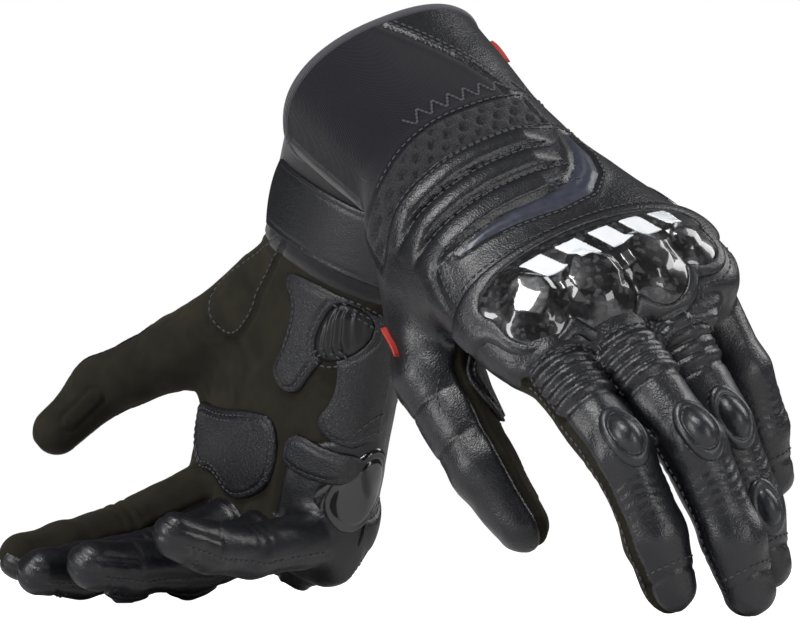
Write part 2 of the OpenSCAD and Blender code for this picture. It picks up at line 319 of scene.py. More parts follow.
def tab_line(y):
    """The edge of the leather tab that covers the little-finger side of the cuff."""
    return -18 + 21 * np.clip((-10 - y) / 42, 0, 1.2) ** 1.3


def pleat_line(x, k):
    return (16, 26, 36)[k] + 0.003 * np.maximum(x, 0) ** 2


# Points along the curved stripe: x, y and half its width
INLAY = [(33, 47, 0.6), (22, 45.5, 2.0), (10, 45, 3.0), (-4, 45.5, 3.8), (-15, 43.5, 4.2), (-22, 37, 3.8),
         (-26, 28, 2.8), (-28, 16, 1.0)]


def inlay_field(x, y):
    """Positive inside the curved stripe between the pleats and the guard."""
    best = np.full(len(x), -99.0)
    for (ax, ay, aw), (bx, by, bw) in zip(INLAY, INLAY[1:]):
        ux, uy = bx - ax, by - ay
        t = np.clip(((x - ax) * ux + (y - ay) * uy) / (ux * ux + uy * uy), 0, 1)
        best = np.maximum(best, aw + (bw - aw) * t - np.hypot(x - ax - t * ux, y - ay - t * uy))
    return best


def round_field(x, y, cx, cy, rx, ry):
    return (1 - np.sqrt(((x - cx) / rx) ** 2 + ((y - cy) / ry) ** 2)) * min(rx, ry)


LOBES = [(27.5, 82, 11.5), (7, 87, 12.0), (-14, 87, 11.0), (-31, 82, 8.5)]


def guard_field(x, y):
    d = -round_field(x, y + 0.0025 * (x + 2) ** 2, 0, 76, 41, 15)
    for cx, cy, r in LOBES:
        d = smooth_min(d, np.hypot(x - cx, y - cy) - r, 2.5)
    return -d


def bump(d, width):
    return np.exp(-((d / width) ** 2))


def window(v, low, high, soft):
    return np.clip((v - low) / soft, 0, 1) * np.clip((high - v) / soft, 0, 1)


class Layout:
    """Which bone, panel and height every point of a glove's skin has."""

    def __init__(self, glove, p):
        self.p = p
        self.edge_slope = EDGE_SLOPE[glove.side]
        body = smooth_min(hand_body(p), glove.mound(p), 12)
        fingers = np.stack([glove.chain(p, s) for s in glove.segments])
        near = fingers.argmin(0)
        s, x, z = [np.zeros(len(p)) for _ in range(3)]
        radius = np.full(len(p), 10.0)
        for i in range(4):
            m = near == i
            if m.any():
                s[m], x[m], z[m] = glove.along(p[m], glove.segments[i])
                radius[m] = np.interp(s[m], np.cumsum([0] + BONE[i]), RADIUS[i])
        finger = (fingers.min(0) < body + 1.2) & (s > 5)
        ts, tx, tz = glove.along(p, glove.thumb)
        thumb_skin = glove.chain(p, glove.thumb)
        thumb = (thumb_skin < body + 1.0) & (ts > 4) & (thumb_skin < fingers.min(0))
        finger &= ~thumb
        self.finger = np.where(finger, near, -1)
        self.thumb = thumb
        self.s = np.where(thumb, ts, s)
        self.x = np.where(thumb, tx, x)
        self.z = np.where(thumb, tz, z)
        self.radius = np.where(thumb, 12.0, radius)
        self.hand = ~finger & ~thumb
        self.fields()

    def fields(self):
        x, y, z = self.p.T
        thumb_edge = -z - 2.5 - self.edge_slope * np.maximum(x - 24, 0)
        side = np.minimum(thumb_edge, x + 38 - 21 * np.clip((y - 38) / 12, 0, 1))
        reach = np.where(self.finger == 0, 90, np.where(self.finger == 3, -9, 15 - self.s))
        share = np.where((self.finger == 0) & (self.x > 0), -0.3, 0.42)
        finger = np.minimum(-(self.z + share * self.radius), reach)
        digit = np.where(self.thumb, -self.z - 1.0, finger)
        self.suede = np.where(self.hand, np.minimum(side, y + 12), digit)
        band = y - band_line(x)
        top = z + 5
        self.band = np.where(self.hand, np.minimum(np.minimum(6.5 - np.abs(band), top), x + 23), -9)
        tab = (x - tab_line(y)) * 0.84
        self.knit = np.where(self.hand, np.minimum(np.minimum(-6.5 - band, top), tab), -9)
        self.loop = np.where(self.hand, np.minimum(-12 - y, -5 - z), -9)
        self.inlay = np.where(self.hand, np.minimum(inlay_field(x, y), z), -9)

    def stack(self):
        return np.stack([self.suede, self.knit, self.band, self.inlay, self.loop])

    def material(self):
        """The place in PANELS of the panel at each point."""
        out = np.zeros(len(self.p), int)
        for k, f in enumerate(self.stack()):
            out[f > 0] = k + 1
        return out

    def nearest_border(self):
        """The panel field that has its zero line closest to each point."""
        stack = self.stack()
        pick = np.abs(stack).argmin(0)
        return np.take_along_axis(stack, pick[None], 0)[0]

    def part(self):
        """0 the hand, 1 to 8 the fingers' bases and ends, 9 and 10 the thumb's."""
        out = np.zeros(len(self.p), int)
        for i in range(4):
            m = self.finger == i
            out[m] = np.where(self.s[m] < SPLIT, 1 + 2 * i, 2 + 2 * i)
        out[self.thumb] = np.where(self.s[self.thumb] < THUMB_SPLIT, 9, 10)
        return out


SPLIT = 27.0
THUMB_SPLIT = 22.0
rng = np.random.default_rng(SEED)
# Wavelength and height of the soft unevenness of worn leather
WAVE_SIZES = [(34, 0.35), (27, 0.3), (19, 0.22), (14, 0.18), (10, 0.12), (7.5, 0.09), (5.2, 0.06),
              (4.1, 0.05)]
WAVES = [(unit(rng.normal(size=3)) * 2 * math.pi / w, rng.uniform(0, 6.28), a) for w, a in WAVE_SIZES
         for _ in range(3)]


def ripple(p):
    q = p + 2.0 * np.sin(p[:, [1, 2, 0]] / 9.0)
    return sum(a * np.sin(q @ k + f) for k, f, a in WAVES) * 0.34


def pleats(lay, x, y, z):
    h = 0
    up = np.clip((z + 2) / 6, 0, 1) * lay.hand
    for k, high in enumerate((3.0, 3.0, 2.0)):
        d = y - pleat_line(x, k)
        puff = high * np.sqrt(np.clip(1 - (d / 4.7) ** 2, 0, 1))
        h = h + up * window(x, -20 + 3 * k, 44, 9) * (puff - 0.5 * bump(np.abs(d) - 5.0, 0.7))
    return h


def mesh_openings(lay, x, y):
    """Arched pits in staggered rows across the mesh band."""
    high, wide = 4.6, 6.4
    row = (y - band_line(x)) / high
    column = x / wide + 0.5 * (np.floor(row + 0.5) % 2)
    u, v = (column % 1) - 0.5, (row + 0.5) % 1 - 0.5
    arch = np.hypot(u * wide, v * high - 0.12 * (u * wide) ** 2)
    return -1.5 * np.clip((lay.band - 0.8) / 0.8, 0, 1) * np.clip((1.9 - arch) / 0.7, 0, 1)


def finger_details(lay, h):
    """Corrugated panels, side seams, caps, pads and folds of the fingers."""
    on_finger = lay.finger >= 0
    top = lay.z / lay.radius
    ribs = on_finger & (lay.finger < 3)
    span = window(lay.s, RIB_START, RIB_END, 0.8) * np.clip((top - 0.22) / 0.15, 0, 1)
    rib = 1.7 * np.sqrt(np.abs(np.sin(math.pi * (lay.s - RIB_START) / RIB_PITCH))) - 0.5
    h = np.where(ribs, h * (1 - span) + span * rib, h)
    edge = bump(lay.s - RIB_START + 1.2, 0.8) + bump(lay.s - RIB_END - 1.2, 0.8)
    h = h - np.where(ribs, 0.6 * edge * np.clip((top - 0.1) / 0.2, 0, 1), 0)
    h = h - 0.65 * bump(top - 0.2, 0.09) * on_finger * (lay.s > 8)
    length = np.array([sum(b) for b in BONE])[np.maximum(lay.finger, 0)]
    cap = lay.s - (length - 4 - 3.5 * np.clip(1 - (lay.x / 8) ** 2, 0, 1))
    h = h - np.where(on_finger & (top > 0.1), 0.6 * bump(cap, 0.9), 0)
    pad = bump(lay.s - (length - 15), 0.9) * np.clip(-top - 0.1, 0, 0.5) * 2
    long_seam = bump(top + 0.55, 0.09) * (lay.s > length - 15)
    h = h - on_finger * (lay.finger > 0) * 0.55 * np.maximum(pad, long_seam)
    past = lay.s - np.array([b[0] for b in BONE])[np.maximum(lay.finger, 0)]
    folds = bump(past, 2.2) + 0.5 * bump(past - 5, 1.2) + 0.5 * bump(past + 5, 1.2)
    h = h - 1.1 * np.clip(-top, 0, 1) * on_finger * folds
    joint = np.clip(top, 0, 1) * on_finger * bump(past - 14, 7)
    return h + 0.22 * joint * np.sin(lay.s * 2.1 + 2 * np.sin(lay.x * 0.5))


def thumb_details(lay, length):
    """The thumb's darts, the long patch on its suede side and the seam between the two sides."""
    darts = -0.45 * np.clip(lay.z / 9, 0, 1) * (bump(lay.s - 10, 0.9) + bump(lay.s - 26, 0.9))
    strip = 3.4 - np.hypot(lay.x + 1, np.maximum(np.abs(lay.s - length + 15) - 9, 0))
    patch = (lay.z < 0) * (0.5 * np.clip(strip / 1.5, 0, 1) - 0.5 * bump(strip, 0.8))
    return lay.thumb * (darts + patch - 0.6 * bump(lay.z + 1.0, 0.8))


def hand_seams(lay, x, y, z):
    """The seam between the knuckles, fine folds behind the fingers and the seam beside the guard."""
    crotch = lay.hand * np.clip((z + 6) / 6, 0, 1) * (y > 84)
    pull = lay.hand * np.clip((z + 4) / 8, 0, 1) * window(y, 98, 112, 5)
    beside = lay.hand * np.clip((z + 16) / 6, 0, 1) * window(y, 42, 72, 4)
    off = x - side_seam(y)
    return (0.35 * pull * np.sin(y * 1.9 + 1.5 * np.sin(x * 0.35)) - 0.8 * crotch * bump(x + 3.5, 0.9)
            - 0.6 * beside * (bump(off, 0.8) - 0.5 * bump(off + 2.4, 1.3)))


def height(glove, p, lay=None):
    """How far the finished skin stands off the plain shape."""
    lay = lay or Layout(glove, p)
    x, y, z = p.T
    h = ripple(p) * np.where(lay.hand & ((y < 0) | (z > 4)), 0.35, 1.0)
    border = lay.nearest_border()
    h = h + pleats(lay, x, y, z) - 0.55 * bump(border, 0.9) + 0.25 * bump(np.abs(border) - 2.2, 1.1)
    thenar = THENAR_FIELD(x, y)
    h = h + mesh_openings(lay, x, y)
    h = h + lay.hand * (z < -8) * (0.7 * np.clip(thenar / 2, 0, 1) - 0.5 * bump(thenar, 0.9))
    h = finger_details(lay, h)
    return h + thumb_details(lay, glove.thumb_length) + hand_seams(lay, x, y, z)


RIB_START = 10.0
RIB_PITCH = 4.1
RIB_END = RIB_START + 4 * RIB_PITCH
PANELS = ["leather", "suede", "knit", "mesh", "inlay", "loop"]


def finished(glove, p):
    """Points near the glove moved onto its finished skin, and the directions out of it."""
    p = project(glove.whole, p, steps=4)
    n = unit(gradient(glove.whole, p))
    return p + n * height(glove, p)[:, None], n


def build_skin(glove):
    low, high = SKIN_BOX[glove.side]
    p, faces = nets(glove.whole, low, high, SKIN_CELL)
    p = project(glove.whole, p, steps=2)
    for _ in range(2):
        b = Layout(glove, p).nearest_border()
        near = np.abs(b) < 0.62 * SKIN_CELL
        q = p[near]
        g = gradient(lambda v: Layout(glove, v).nearest_border(), q, 0.15)
        size = (g * g).sum(1)
        step = -(b[near] / np.maximum(size, 0.3))[:, None] * g
        step *= np.minimum(1, 0.7 * SKIN_CELL / np.maximum(np.linalg.norm(step, axis=1), 1e-6))[:, None]
        p[near] = q + step
        p[near] = project(glove.whole, p[near], steps=1)
    lay = Layout(glove, p)
    n = unit(gradient(glove.whole, p))
    rest = p.copy()
    p = p + n * height(glove, p, lay)[:, None]
    keep = rest[faces][:, :, 1].mean(1) > CUFF_END
    faces = faces[keep]
    normals = vertex_normals(p, faces)
    centre = rest[faces].mean(1)
    mid = Layout(glove, centre)
    part, panel = mid.part(), mid.material()
    return p, faces, normals, part, panel, rest


SKIN_BOX = {
    "left": ([-56, -56, -112], [84, 200, 34]),
    "right": ([-56, -56, -112], [98, 150, 34]),
}


# The bodies that the fingers and the thumb ride on, by the number of their part
PART_NODES = {9: "thumb_base", 10: "thumb_tip"}
for order, finger_name in enumerate(FINGERS):
    PART_NODES[1 + 2 * order] = f"{finger_name}_base"
    PART_NODES[2 + 2 * order] = f"{finger_name}_tip"


def bend(glove, obj, first, second, start, end):
    """Only bakes a piece's transform into its mesh: the two places are worked out but nothing bends, and the
    two bodies are not used.
    """
    tuple(glove.world(start))
    tuple(glove.world(end))
    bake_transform(obj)


def place_part(glove, obj, part):
    """The hand's pieces ride on it, and those of a finger or thumb are only passed to bend, which bakes
    their transform.
    """
    if part == 0:
        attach(obj, f"{glove.side}_hand")
        return
    thumb = part >= 9
    seg = glove.thumb if thumb else glove.segments[(part - 1) // 2]
    near, far, reach = (3, 16, 7) if thumb else (5, 18, 8)
    if part % 2:
        a, y = seg[0]["a"], seg[0]["y"]
        bend(glove, obj, "hand", PART_NODES[part], a + y * near, a + y * far)
    else:
        a = seg[1]["a"]
        out = unit(seg[0]["y"] + seg[1]["y"])
        bend(glove, obj, PART_NODES[part - 1], PART_NODES[part], a - out * reach, a + out * reach)


# What the panels of the hand are called
HAND_NAMES = ["back_leather", "palm_suede", "cuff_knit", "mesh_insert", "wrist_inlay", "cuff_panel"]


def skin_pieces(glove, materials):
    p, faces, normals, part, panel, rest = build_skin(glove)
    for k in range(len(PART_NODES) + 1):
        for m in range(len(PANELS)):
            pick = faces[(part == k) & (panel == m)]
            if len(pick) < 6:
                continue
            if k == 0:
                name = f"{glove.side}_{HAND_NAMES[m]}"
            else:
                name = f"{glove.side}_{PART_NODES[k]}_{PANELS[m]}"
            obj = make(glove, name + "_skin", p, pick, materials[PANELS[m]], normals, rest)
            place_part(glove, obj, k)
            if k == 0 and m != 4:
                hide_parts(name)
            elif k > 0 and m == 0:
                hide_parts(f"{glove.side}_{PART_NODES[k]}")
                if k in (1, 3, 5):
                    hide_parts(f"{glove.side}_{FINGERS[(k - 1) // 2]}_accordion")
            if k == 0 and m == 0:
                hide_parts(f"{glove.side}_pleat_ribs")


# Moulded and sewn-on pieces, each a closed solid that follows the hand

def hard(glove, name, f, low, high, material, slot, body, cell, nodes):
    p, faces = nets(f, low, high, cell)
    p = project(f, p, steps=2)
    obj = make(glove, name, p, faces, material, vertex_normals(p, faces))
    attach(obj, body)
    if nodes:
        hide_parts(*nodes)
    return obj


def guard_height(x, y):
    e = guard_field(x, y)
    h = 1.6 + 3.0 * np.clip(e / 5.0, 0, 1)
    for cx, cy, r in LOBES:
        u, v = np.abs(x - cx), np.abs(y - cy + 3.5)
        d = np.maximum(np.maximum(u, v * 0.85), (u + v) * 0.72)
        h = h + 1.7 * np.clip((r - 2.4 - d) / 2.4, 0, 1) + 0.7 * np.clip(1 - (d / r) ** 2, 0, 1)
    return h


def raised(base, high, edge, soft, depth, beyond):
    """Distance to a piece that stands high off a base where edge is positive, with a rounded rim."""
    rim = -smooth_min(high - base, edge, soft)
    return np.maximum(np.maximum(rim, -depth - base), beyond)


def guard_shape(p):
    x, y, z = p.T
    return raised(hand_body(p), guard_height(x, y), guard_field(x, y), 1.6, 0.5, -z)


def bezel_shape(p):
    x, y, z = p.T
    return raised(hand_body(p), 2.3, 1.7 - np.abs(guard_field(x, y) + 1.3), 1.6, 0.5, -z)


def bars_shape(p):
    """Slanted bars set into the guard's upper side."""
    x, y = p[:, 0], p[:, 1]
    lean = x + 0.45 * (y - 70)
    wave = np.abs((lean + 60) % 12 - 6) - 3.7
    row = np.abs(y - (72.5 - 0.0025 * (x + 2) ** 2)) - 4.6
    bars = np.maximum(np.maximum(wave, row), np.maximum(x - 24, -33 - x))
    skin = guard_shape(p)
    return np.maximum(np.maximum(skin - 0.4, bars), -0.5 - skin)


def slider_shape(p):
    x, y, z = p.T
    r = round_field(y, z + 0.25 * (y - 53), 55, -3, 16, 9.0)
    high = 1.6 + 0.28 * np.clip(r - 1.5, 0, 7) - 0.5 * bump(r - 1.8, 0.6)
    return raised(hand_body(p), high, r, 1.8, 0.6, x + 24)


STRAP_Y = [-44, -19]


def strap_shape(p):
    x, y, z = p.T
    off = y - sum(STRAP_Y) / 2
    e = np.minimum((STRAP_Y[1] - STRAP_Y[0]) / 2 - np.abs(off), 24 - x - 0.02 * off**2)
    return raised(hand_body(p), 2.9 - 0.4 * bump(e - 2.0, 0.7), e, 1.3, -1.0, z + 1.5)


def polygon_field(x, y, points):
    """Distance inside an outline, positive inside."""
    pts = np.array(points, float)
    best = np.full(len(x), 1e9)
    inside = np.zeros(len(x), bool)
    for a, b in zip(pts, np.roll(pts, -1, 0)):
        ab = b - a
        t = np.clip(((x - a[0]) * ab[0] + (y - a[1]) * ab[1]) / (ab @ ab), 0, 1)
        best = np.minimum(best, np.hypot(x - a[0] - t * ab[0], y - a[1] - t * ab[1]))
        crosses = (a[1] > y) != (b[1] > y)
        inside ^= crosses & (x < a[0] + (y - a[1]) * ab[0] / (ab[1] if ab[1] else 1e-9))
    return np.where(inside, best, -best)


def rounded(points):
    """An outline with its corners cut twice."""
    pts = np.array(points, float)
    for _ in range(2):
        after = np.roll(pts, -1, 0)
        pts = np.stack([0.75 * pts + 0.25 * after, 0.25 * pts + 0.75 * after], 1).reshape(-1, 2)
    return pts


def outline_field(points):
    """The distance inside an outline, read from a fine table."""
    low, cell, n = -60.0, 0.5, 320
    at = low + cell * np.arange(n)
    xx, yy = np.meshgrid(at, at, indexing="ij")
    grid = polygon_field(xx.ravel(), yy.ravel(), points).reshape(n, n)

    def f(x, y):
        u = np.clip((x - low) / cell, 0, n - 1.001)
        v = np.clip((y - low) / cell, 0, n - 1.001)
        i, j = u.astype(int), v.astype(int)
        a, b = u - i, v - j
        return ((grid[i, j] * (1 - a) + grid[i + 1, j] * a) * (1 - b)
                + (grid[i, j + 1] * (1 - a) + grid[i + 1, j + 1] * a) * b)
    return f


# Outlines on the palm, in millimetres across and along the hand
HEEL = [[-42, -11], [2, -11], [3, -4], [-4, 0], [-5, 14], [-2, 27], [-8, 32], [-16, 31], [-19, 22],
        [-23, 12], [-28, 12], [-30, 26], [-26, 36], [-32, 41], [-44, 40]]
HEEL_WINDOW = [[-33, -9], [-21, -9], [-17, 8], [-22, 16], [-34, 6]]
FINGER_PAD = [[-44, 42], [-34, 44], [-17, 43], [-15, 57], [-28, 58], [-44, 54]]
GRIP_PAD = [[-10, 43], [6, 47], [22, 55], [42, 60], [40, 76], [28, 84], [20, 79], [8, 84], [-4, 78],
            [-14, 66]]
THENAR = [[4, -28], [14, 2], [11, 12], [18, 26], [30, 27], [40, 18], [34, 4], [24, -10]]
THENAR_FIELD = outline_field(rounded(THENAR))
WINDOW_FIELD = outline_field(rounded(HEEL_WINDOW))


def patch_shape(glove, outline, hole=None, thick=1.5):
    edge = outline_field(rounded(outline))

    def f(p):
        x, y, z = p.T
        e = edge(x, y)
        if hole is not None:
            e = np.minimum(e, -hole(x, y))
        high = thick + 0.35 * np.clip(e, 0, 3) - 0.45 * bump(e - 2.0, 0.7) + 0.4 * ripple(p)
        return raised(glove.hand(p), high, e, 1.3, 0.8, z + 1)
    return f


def insert_shape(p):
    x, y, z = p.T
    e = WINDOW_FIELD(x, y) + 0.4
    ribs = 0.5 * np.sin((x + 0.2 * y) * 2.2) * np.clip((e - 1.5) / 1.5, 0, 1)
    return raised(hand_body(p), 0.6 + 2.4 * np.clip(e / 5, 0, 1) + ribs, e, 1.2, 0.8, z + 1)


def stud_frames(glove):
    """The middle of each oval pad, the way along the finger, outwards, its size and its piece."""
    out = []
    for i in range(3):
        seg = glove.segments[i]
        y = unit(seg[0]["y"] * 1.0 + seg[1]["y"] * 0.55)
        z = unit(np.cross(seg[0]["x"], y))
        out.append((f"{FINGERS[i]}_stud", seg[1]["a"] - seg[0]["y"] * 1.5, y, z, 5.6, 9.3, 1 + 2 * i))
    seg = glove.segments[2]
    y = unit(seg[1]["y"] + 0.5 * seg[2]["y"])
    z = unit(np.cross(seg[1]["x"], y))
    out.append(("ring_end_stud", seg[2]["a"] - seg[1]["y"] * 2, y, z, 4.8, 8.0, 6))
    return out


def stud(glove, entry, material):
    name, at, y, z, rx, ry, part = entry
    x = np.cross(y, z)
    centre = project(glove.whole, (at + z * 11)[None], steps=6)[0]

    def f(p):
        q = p - centre
        u, v, w = q @ x, q @ y, q @ z
        skin = glove.whole(p)
        r = np.sqrt((u / rx) ** 2 + (v / ry) ** 2)
        e = (1 - r) * rx
        dome = skin - 0.6 - 3.3 * np.sqrt(np.clip(1 - (r / 0.82) ** 2, 0, 1))
        bead = np.sqrt((e - 0.1) ** 2 + (skin - 0.9) ** 2) - 1.05
        out = smooth_min(np.maximum(dome, -e), bead, 0.4)
        return np.maximum(np.maximum(out, -0.8 - skin), np.abs(w) - 9)

    reach = np.abs(np.stack([x * (rx + 2.5), y * (ry + 2.5), z * 7])).sum(0)
    piece = hard(glove, f"{glove.side}_{name}_pad", f, centre - reach, centre + reach, material, "pad",
                 f"{glove.side}_{PART_NODES[part]}", STUD_CELL, [f"{glove.side}_{name}"])
    return centre, x, y, rx, ry, part


def hand_ring(y, grow, turns):
    """A ring of points round the hand at one height, moved out by grow."""
    cx, cz, rx, rz = [np.interp(y, FINE_Y, t) for t in TABLE]
    a = np.linspace(0, 2 * math.pi, turns, endpoint=False)
    c, s = np.cos(a), np.sin(a)
    k = (np.abs(c) ** ROUNDNESS + np.abs(s) ** ROUNDNESS) ** (-1 / ROUNDNESS)
    return np.stack([cx + (rx + grow) * k * c, np.full(turns, y), cz + (rz + grow) * k * s], 1)


def ring_faces(rings, turns, closed):
    """Faces between rings of points, and from the last ring to the first when closed."""
    r, t = [v.ravel() for v in np.meshgrid(np.arange(rings - 1 + closed), np.arange(turns), indexing="ij")]
    n, u = (r + 1) % rings, (t + 1) % turns
    return np.stack([r * turns + t, r * turns + u, n * turns + u, n * turns + t], 1)


def lining(glove, material):
    """The inside of the glove that shows through the cuff."""
    turns, steps, wavy = 56, 26, 20
    p = np.concatenate([hand_ring(y, -2.6, turns) for y in np.linspace(CUFF_END, 60, steps)])
    p[:turns * wavy] += ripple(p[:turns * wavy])[:, None] * 0.3
    obj = make(glove, f"{glove.side}_lining", p, ring_faces(steps, turns, False), material)
    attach(obj, f"{glove.side}_hand")


def binding(glove, material):
    """The tape folded over the edge of the cuff."""
    turns, around = 150, 10
    rings = []
    for b in np.linspace(0, 2 * math.pi, around, endpoint=False):
        ring = hand_ring(CUFF_END, -1.0 + 1.75 * math.cos(b), turns)
        ring[:, 1] += 0.6 + 1.9 * math.sin(b)
        rings.append(ring)
    faces = ring_faces(around, turns, True)[:, [0, 3, 2, 1]]
    obj = make(glove, f"{glove.side}_cuff_binding_tape", np.concatenate(rings), faces, material)
    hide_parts(f"{glove.side}_cuff_binding")
    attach(obj, f"{glove.side}_hand")


# Stitching

class Thread:
    """Stitches gathered for each part of a glove."""

    def __init__(self, glove):
        self.glove = glove
        self.parts = {}

    def line(self, points, part, pitch=2.6, length=1.75, thick=0.38, lift=0.1, on_skin=True):
        p = np.asarray(points, float)
        gaps = np.linalg.norm(np.diff(p, axis=0), axis=1)
        jumps = np.flatnonzero(gaps > 7)
        if len(jumps):
            for run in np.split(p, jumps + 1):
                self.line(run, part, pitch, length, thick, lift, on_skin)
            return
        step = np.r_[0, np.cumsum(gaps)]
        if len(p) < 2 or step[-1] < 2 * pitch:
            return
        at = np.arange(pitch / 2, step[-1] - pitch / 2, pitch)
        a = np.stack([np.interp(at - length / 2, step, p[:, k]) for k in range(3)], 1)
        b = np.stack([np.interp(at + length / 2, step, p[:, k]) for k in range(3)], 1)
        if on_skin:
            a, n = finished(self.glove, a)
            b, _ = finished(self.glove, b)
        else:
            n = unit(gradient(self.glove.whole, a))
        self.parts.setdefault(part, []).append((a + n * lift, b + n * lift, n, thick))

    def build(self, material):
        for part, runs in self.parts.items():
            points, faces, count = [], [], 0
            for a, b, n, thick in runs:
                t = unit(b - a)
                side = np.cross(t, n)
                for k, (share, size) in enumerate(((0, 0.3), (0.2, 1), (0.8, 1), (1, 0.3))):
                    for j in range(5):
                        w = 2 * math.pi * j / 5
                        out = math.cos(w) * side + 0.8 * math.sin(w) * n
                        points.append(a + (b - a) * share + thick * size * out)
                m = len(a)
                base = np.arange(m)
                for k in range(3):
                    for j in range(5):
                        q = [(k, j), (k, (j + 1) % 5), (k + 1, (j + 1) % 5), (k + 1, j)]
                        faces.append(np.stack([count + (r * 5 + c) * m + base for r, c in q], 1))
                count += 20 * m
            p, f = np.concatenate(points), np.concatenate(faces)
            name = "hand" if part == 0 else PART_NODES[part]
            obj = make(self.glove, f"{self.glove.side}_{name}_stitching", p, f, material)
            place_part(self.glove, obj, part)


def on_hand(glove, x, y, palm=False):
    """Points of the hand's back or palm at x, y, found from above or below."""
    x, y = np.broadcast_arrays(np.asarray(x, float), np.asarray(y, float))
    z = np.full(x.shape, -60.0 if palm else 40.0)
    way = -1 if palm else 1
    for _ in range(30):
        z = z - way * 0.8 * glove.hand(np.stack([x, y, z], 1))
    p = np.stack([x, y, z], 1)
    return p[np.abs(glove.hand(p)) < 0.6]


def on_finger(glove, i, s, turn):
    """Points at distance s along a finger, turned from its side over its back in degrees."""
    out = []
    for sv, tv in zip(*np.broadcast_arrays(np.asarray(s, float), np.asarray(turn, float))):
        k = 0
        while k < 2 and sv > glove.segments[i][k + 1]["start"]:
            k += 1
        g = glove.segments[i][k]
        t = math.radians(tv)
        out.append(g["a"] + g["y"] * (sv - g["start"]) + 10 * (math.cos(t) * g["x"] + math.sin(t) * g["z"]))
    return np.array(out)


def outline_points(field, level, centre, count=140):
    """A ring where a plane field has a level, found along rays from its centre."""
    centre = np.array(centre)
    ring = []
    for a in np.linspace(0, 2 * math.pi, count):
        way = np.array([math.cos(a), math.sin(a)])
        low, high = 0.0, 70.0
        for _ in range(26):
            mid = (low + high) / 2
            v = field(*(centre + mid * way)[:, None])[0]
            low, high = (mid, high) if v > level else (low, mid)
        ring.append(centre + low * way)
    return np.array(ring)


def stitch_back(glove, thread):
    across = np.linspace(-18, 38, 60)
    for k in range(3):
        for off in (-3.9, 3.9):
            thread.line(on_hand(glove, across, pleat_line(across, k) + off), 0)
    y = np.linspace(-50, -14, 40)
    for off in (-2.2, -4.4):
        thread.line(on_hand(glove, tab_line(y) + off, y), 0)
    across = np.linspace(-33, 37, 60)
    for off in (-7.6, 8.0, 10.2):
        thread.line(on_hand(glove, across, band_line(across) + off), 0)
    y = np.linspace(46, 70, 26)
    for off in (-1.8, -3.6):
        thread.line(on_hand(glove, side_seam(y) + off, y), 0)
    for field, level, centre in ((inlay_field, -1.8, (-14, 43.5)), (guard_field, -4.6, (-2, 76))):
        thread.line(on_hand(glove, *outline_points(field, level, centre).T), 0)
    zig = np.linspace(-30, 18, 97)
    teeth = 2.6 * np.abs((np.arange(97) % 12) / 6 - 1)
    thread.line(on_hand(glove, zig, band_line(zig) - 10 - 2 * teeth), 0, pitch=1.5, length=1.5, thick=0.5)
    for x in (-5.4, -1.6):
        thread.line(on_hand(glove, np.full(20, x), np.linspace(95, 102, 20)), 0)


def stitch_palm(glove, thread):
    for outline, hole in ((HEEL, HEEL_WINDOW), (FINGER_PAD, None), (GRIP_PAD, None)):
        for shape, inset, lift in ((outline, 2.0, 1.55), (outline, 3.9, 1.9), (hole, -1.8, 1.55)):
            if shape is None:
                continue
            q = on_hand(glove, *inset_outline(rounded(shape), inset).T, palm=True)
            q = q[np.abs(q[:, 0]) < 43]
            thread.line(q + unit(gradient(glove.hand, q)) * lift, 0, on_skin=False, lift=0.0)
    thread.line(on_hand(glove, *inset_outline(rounded(THENAR), 1.9).T, palm=True), 0)


def stitch_finger(glove, thread, i):
    total = sum(BONE[i])
    base, tip = 1 + 2 * i, 2 + 2 * i
    for turn in (4, 176):
        thread.line(on_finger(glove, i, np.linspace(9, SPLIT, 30), turn), base)
        thread.line(on_finger(glove, i, np.linspace(SPLIT, total + 2, 50), turn), tip)
    if i < 3:
        for turn in (20, 160):
            thread.line(on_finger(glove, i, np.linspace(RIB_START - 2, RIB_END + 2, 24), turn), base)
        thread.line(on_finger(glove, i, np.full(20, RIB_START - 2.6), np.linspace(22, 158, 20)), base)
    arc = np.linspace(18, 162, 26)
    thread.line(on_finger(glove, i, total - 6.2 - 3.5 * np.sin(np.radians(arc)), arc), tip)


def stitch_glove(glove, material, studs):
    thread = Thread(glove)
    stitch_back(glove, thread)
    stitch_palm(glove, thread)
    for i in range(4):
        stitch_finger(glove, thread, i)
    a = np.linspace(0, 2 * math.pi, 50)
    for centre, x, y, rx, ry, part in studs:
        thread.line(centre + np.outer(np.cos(a) * (rx + 2.2), x) + np.outer(np.sin(a) * (ry + 2.2), y), part)
    thread.build(material)


def inset_outline(pts, inset):
    """An outline moved inwards, as a closed row of points 1 mm apart."""
    area = 0.5 * np.sum(pts[:, 0] * np.roll(pts[:, 1], -1) - np.roll(pts[:, 0], -1) * pts[:, 1])
    sign = 1 if area > 0 else -1
    out = []
    for a, b, c in zip(np.roll(pts, 1, 0), pts, np.roll(pts, -1, 0)):
        u, v = unit(b - a), unit(c - b)
        n1, n2 = sign * np.array([-u[1], u[0]]), sign * np.array([-v[1], v[0]])
        m = unit(n1 + n2)
        out.append(b + m * inset / max(m @ n1, 0.5))
    out = np.array(out + [out[0]])
    step = np.r_[0, np.cumsum(np.linalg.norm(np.diff(out, axis=0), axis=1))]
    at = np.linspace(0, step[-1], int(step[-1]))
    return np.stack([np.interp(at, step, out[:, 0]), np.interp(at, step, out[:, 1])], 1)


# Materials

def math_node(nodes, links, operation, *values):
    n = nodes.new("ShaderNodeMath")
    n.operation = operation
    for socket, value in zip(n.inputs, values):
        if isinstance(value, (int, float)):
            socket.default_value = value
        else:
            links.new(value, socket)
    return n.outputs[0]


